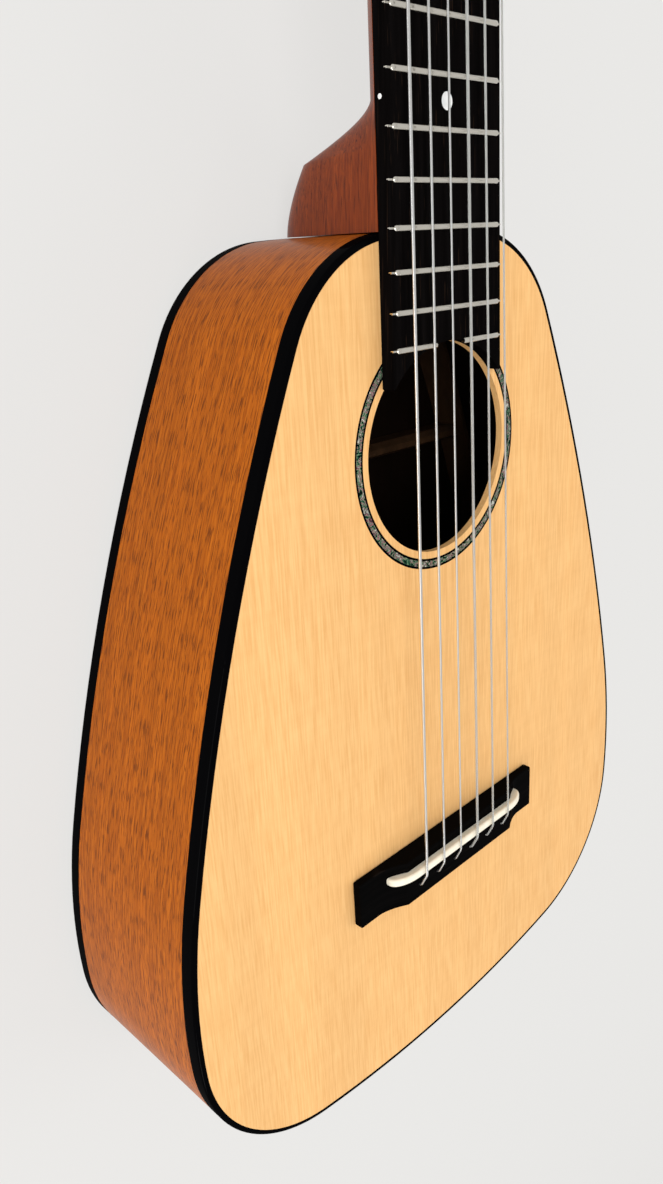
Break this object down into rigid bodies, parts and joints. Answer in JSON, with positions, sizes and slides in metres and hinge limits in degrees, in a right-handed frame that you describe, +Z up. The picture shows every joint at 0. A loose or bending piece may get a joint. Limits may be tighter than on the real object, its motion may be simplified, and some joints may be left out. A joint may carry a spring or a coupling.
{
  "type": "guitalele",
  "caption": "Small six-string guitar with a waistless rounded-triangle body, soundhole, fretted neck, bridge and geared machine heads, lying on its flat back.",
  "frame": {"origin": "on the back's outer face, on the centre line, straight below the saddle's end of the scale", "axes": "+Y along the centre line towards the headstock, +Z up out of the flat back, +X to the right seen from the front with the neck up (the treble side)"},
  "size_m": [0.2564, 0.7256, 0.0869],
  "materials": {
    "spruce": "gloss",
    "mahogany": "gloss",
    "black_binding": "gloss",
    "rosette_shell": "gloss",
    "lining_wood": "matte",
    "ebony": "satin",
    "bone": "satin",
    "nickel": "polished",
    "wound_string": "satin",
    "nylon_string": "gloss",
    "button_plastic": "gloss"
  },
  "bodies": {
    "instrument": {"back": "mahogany", "back_brace_lower": "spruce", "back_brace_upper": "spruce", "binding_back": "black_binding", "binding_front": "black_binding", "bridge": "ebony", "bridge_patch": "mahogany", "fret_01": "nickel", "fret_02": "nickel", "fret_03": "nickel", "fret_04": "nickel", "fret_05": "nickel", "fret_06": "nickel", "fret_07": "nickel", "fret_08": "nickel", "fret_09": "nickel", "fret_10": "nickel", "fret_11": "nickel", "fret_12": "nickel", "fret_13": "nickel", "fret_14": "nickel", "fret_15": "nickel", "fret_16": "nickel", "fret_17_bass": "nickel", "fret_17_treble": "nickel", "fretboard": "ebony", "headstock_veneer": "ebony", "lining_back": "lining_wood", "lining_front": "lining_wood", "lower_brace": "spruce", "neck": "mahogany", "neck_block": "mahogany", "nut": "bone", "rosette": "rosette_shell", "saddle": "bone", "side_bass": "mahogany", "side_treble": "mahogany", "soundboard": "spruce", "string_1": "nylon_string", "string_2": "nylon_string", "string_3": "nylon_string", "string_4": "wound_string", "string_5": "wound_string", "string_6": "wound_string", "tail_block": "mahogany", "tuner_plate_bass": "nickel", "tuner_plate_treble": "nickel", "upper_brace": "spruce"},
    "button_bass_1": {"tuner_button_bass_1": "button_plastic"},
    "post_bass_1": {"string_post_bass_1": "nickel"},
    "button_bass_2": {"tuner_button_bass_2": "button_plastic"},
    "post_bass_2": {"string_post_bass_2": "nickel"},
    "button_bass_3": {"tuner_button_bass_3": "button_plastic"},
    "post_bass_3": {"string_post_bass_3": "nickel"},
    "button_treble_1": {"tuner_button_treble_1": "button_plastic"},
    "post_treble_1": {"string_post_treble_1": "nickel"},
    "button_treble_2": {"tuner_button_treble_2": "button_plastic"},
    "post_treble_2": {"string_post_treble_2": "nickel"},
    "button_treble_3": {"tuner_button_treble_3": "button_plastic"},
    "post_treble_3": {"string_post_treble_3": "nickel"}
  },
  "joints": [
    {"name": "button_turn_bass_1", "type": "hinge", "parent": "instrument", "child": "button_bass_1", "pos_m": [-0.019, 0.53683, 0.03031], "axis": [1, 0, 0], "continuous": true},
    {"name": "post_turn_bass_1", "type": "hinge", "parent": "instrument", "child": "post_bass_1", "pos_m": [-0.019, 0.54799, 0.04681], "axis": [0, 0.2278, 0.9737], "continuous": true},
    {"name": "button_turn_bass_2", "type": "hinge", "parent": "instrument", "child": "button_bass_2", "pos_m": [-0.019, 0.56605, 0.02348], "axis": [1, 0, 0], "continuous": true},
    {"name": "post_turn_bass_2", "type": "hinge", "parent": "instrument", "child": "post_bass_2", "pos_m": [-0.019, 0.5772, 0.03997], "axis": [0, 0.2278, 0.9737], "continuous": true},
    {"name": "button_turn_bass_3", "type": "hinge", "parent": "instrument", "child": "button_bass_3", "pos_m": [-0.019, 0.59526, 0.01665], "axis": [1, 0, 0], "continuous": true},
    {"name": "post_turn_bass_3", "type": "hinge", "parent": "instrument", "child": "post_bass_3", "pos_m": [-0.019, 0.60641, 0.03314], "axis": [0, 0.2278, 0.9737], "continuous": true},
    {"name": "button_turn_treble_1", "type": "hinge", "parent": "instrument", "child": "button_treble_1", "pos_m": [0.019, 0.53683, 0.03031], "axis": [1, 0, 0], "continuous": true},
    {"name": "post_turn_treble_1", "type": "hinge", "parent": "instrument", "child": "post_treble_1", "pos_m": [0.019, 0.54799, 0.04681], "axis": [0, 0.2278, 0.9737], "continuous": true},
    {"name": "button_turn_treble_2", "type": "hinge", "parent": "instrument", "child": "button_treble_2", "pos_m": [0.019, 0.56605, 0.02348], "axis": [1, 0, 0], "continuous": true},
    {"name": "post_turn_treble_2", "type": "hinge", "parent": "instrument", "child": "post_treble_2", "pos_m": [0.019, 0.5772, 0.03997], "axis": [0, 0.2278, 0.9737], "continuous": true},
    {"name": "button_turn_treble_3", "type": "hinge", "parent": "instrument", "child": "button_treble_3", "pos_m": [0.019, 0.59526, 0.01665], "axis": [1, 0, 0], "continuous": true},
    {"name": "post_turn_treble_3", "type": "hinge", "parent": "instrument", "child": "post_treble_3", "pos_m": [0.019, 0.60641, 0.03314], "axis": [0, 0.2278, 0.9737], "continuous": true}
  ],
  "couplings": [
    {"joint": "post_turn_bass_1", "follows": "button_turn_bass_1", "ratio": -0.071429},
    {"joint": "post_turn_bass_2", "follows": "button_turn_bass_2", "ratio": -0.071429},
    {"joint": "post_turn_bass_3", "follows": "button_turn_bass_3", "ratio": -0.071429},
    {"joint": "post_turn_treble_1", "follows": "button_turn_treble_1", "ratio": -0.071429},
    {"joint": "post_turn_treble_2", "follows": "button_turn_treble_2", "ratio": -0.071429},
    {"joint": "post_turn_treble_3", "follows": "button_turn_treble_3", "ratio": -0.071429}
  ]
}
